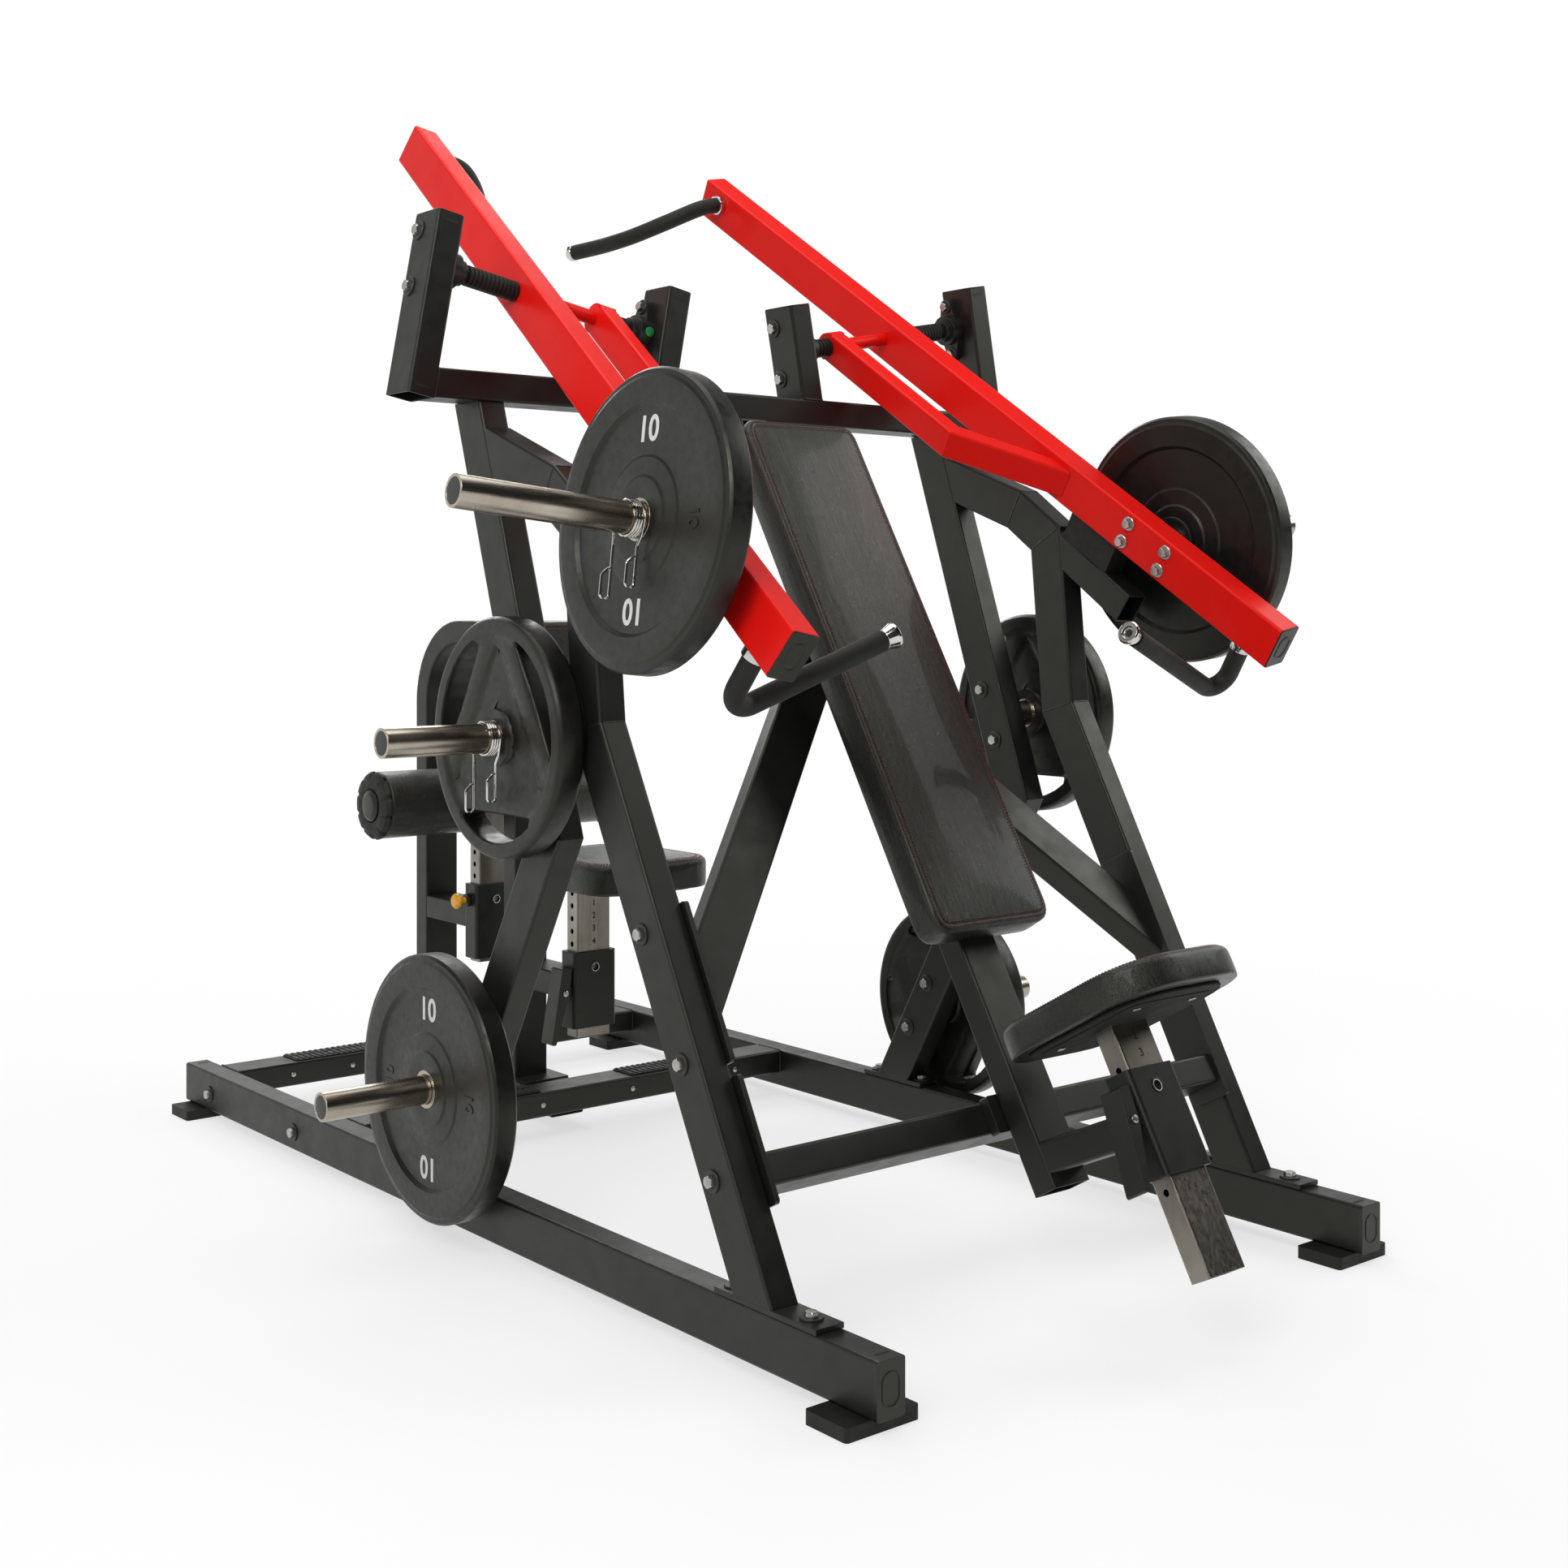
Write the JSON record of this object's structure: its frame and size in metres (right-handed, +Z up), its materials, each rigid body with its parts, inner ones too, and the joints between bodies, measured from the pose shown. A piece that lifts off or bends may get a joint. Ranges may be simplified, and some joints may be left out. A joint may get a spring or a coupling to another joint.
{
  "type": "plate loaded chest press and lat pulldown machine",
  "caption": "Free-standing steel strength machine with pivoting lever arms, plate sleeves, padded bench, adjustable seats and thigh rollers.",
  "frame": {"origin": "floor level, centred under the machine", "axes": "+Z up, -Y towards the press seat, +Y towards the pulldown seat, +X to the right seen from the press seat side"},
  "size_m": [1.8428, 2.3412, 2.0137],
  "materials": {
    "black_frame": "fine-textured powder coat",
    "red_arm": "gloss red paint",
    "rubber": "matt rubber",
    "plastic": "satin plastic",
    "vinyl": "grained black vinyl",
    "steel": "brushed stainless",
    "plate": "rubber-covered iron plate",
    "fastener": "zinc plated",
    "yellow": "yellow plastic knob",
    "foam": "dense foam skin"
  },
  "bodies": {
    "frame": {"arch": "black_frame", "back_pad": "vinyl", "base_tube": "black_frame", "bearings": "black_frame", "chest_pad": "vinyl", "crossbar_middle": "black_frame", "crossbar_rear": "black_frame", "crossbeam": "black_frame", "flange_plates": "black_frame", "foot_treads": "rubber", "frame_bolts": "fastener", "front_crossbar": "black_frame", "front_leg_left": "black_frame", "front_leg_right": "black_frame", "lat_guide": "black_frame", "low_plate_left": "plate", "low_plate_right": "plate", "mid_plate_left": "plate", "mid_plate_right": "plate", "pivot_posts_left": "black_frame", "pivot_posts_right": "black_frame", "rail_end_caps": "plastic", "rail_left": "black_frame", "rail_right": "black_frame", "rear_leg_left": "black_frame", "rear_leg_right": "black_frame", "roller_guide": "black_frame", "rubber_feet": "rubber", "seat_beam": "black_frame", "seat_guide": "black_frame", "spine": "black_frame", "stop_arms": "black_frame", "stop_blocks": "rubber", "storage_sleeves_left": "steel", "storage_sleeves_right": "steel", "struts": "black_frame"},
    "left_arm": {"arm_left": "red_arm", "arm_brace_left": "red_arm", "pivot_shaft_left": "rubber", "press_handle_left": "rubber", "lat_handle_left": "rubber", "load_sleeve_left": "steel", "load_plate_left": "plate"},
    "right_arm": {"arm_right": "red_arm", "arm_brace_right": "red_arm", "pivot_shaft_right": "rubber", "press_handle_right": "rubber", "lat_handle_right": "rubber", "load_sleeve_right": "steel", "load_plate_right": "plate"},
    "press_seat": {"seat_tube": "steel", "seat_pad": "vinyl"},
    "lat_seat": {"lat_seat_tube": "steel", "lat_seat_pad": "vinyl"},
    "roller_carriage": {"roller_tube": "steel"},
    "left_roller": {"roller_left": "foam"},
    "right_roller": {"roller_right": "foam"},
    "pop_pin": {"pull_pin": "yellow"},
    "press_seat_lever": {"seat_lever": "plastic"},
    "lat_seat_lever": {"lat_lever": "plastic"}
  },
  "joints": [
    {"name": "left_arm_pivot", "type": "hinge", "parent": "frame", "child": "left_arm", "pos_m": [-0.454, 0.00564, 1.624], "axis": [-0.9829, 0, 0.184], "range_deg": [0, 60]},
    {"name": "right_arm_pivot", "type": "hinge", "parent": "frame", "child": "right_arm", "pos_m": [0.454, 0.00564, 1.624], "axis": [-0.9829, 0, -0.184], "range_deg": [0, 60]},
    {"name": "press_seat_height", "type": "slide", "parent": "frame", "child": "press_seat", "axis": [0, 0.4894, 0.8721], "range_m": [-0.052, 0.104]},
    {"name": "lat_seat_height", "type": "slide", "parent": "frame", "child": "lat_seat", "axis": [0, 0, 1], "range_m": [-0.078, 0.078]},
    {"name": "roller_height", "type": "slide", "parent": "frame", "child": "roller_carriage", "axis": [0, 0, 1], "range_m": [-0.078, 0.078]},
    {"name": "left_roller_spin", "type": "hinge", "parent": "roller_carriage", "child": "left_roller", "pos_m": [-0.16, 0.84264, 0.66], "axis": [1, 0, 0], "continuous": true},
    {"name": "right_roller_spin", "type": "hinge", "parent": "roller_carriage", "child": "right_roller", "pos_m": [0.16, 0.84264, 0.66], "axis": [1, 0, 0], "continuous": true},
    {"name": "pop_pin_pull", "type": "slide", "parent": "frame", "child": "pop_pin", "axis": [-1, 0, 0], "range_m": [0, 0.01], "stiffness_N_per_m": 600, "springref_m": -0.01},
    {"name": "press_seat_lever_pull", "type": "hinge", "parent": "frame", "child": "press_seat_lever", "pos_m": [-0.07, -1.03945, 0.32959], "axis": [0, -0.8721, 0.4894], "range_deg": [0, 10], "stiffness_Nm_per_rad": 2, "springref_deg": -11.46},
    {"name": "lat_seat_lever_pull", "type": "hinge", "parent": "frame", "child": "lat_seat_lever", "pos_m": [-0.07, 0.45514, 0.298], "axis": [0, -1, 0], "range_deg": [0, 10], "stiffness_Nm_per_rad": 2, "springref_deg": -11.46}
  ]
}
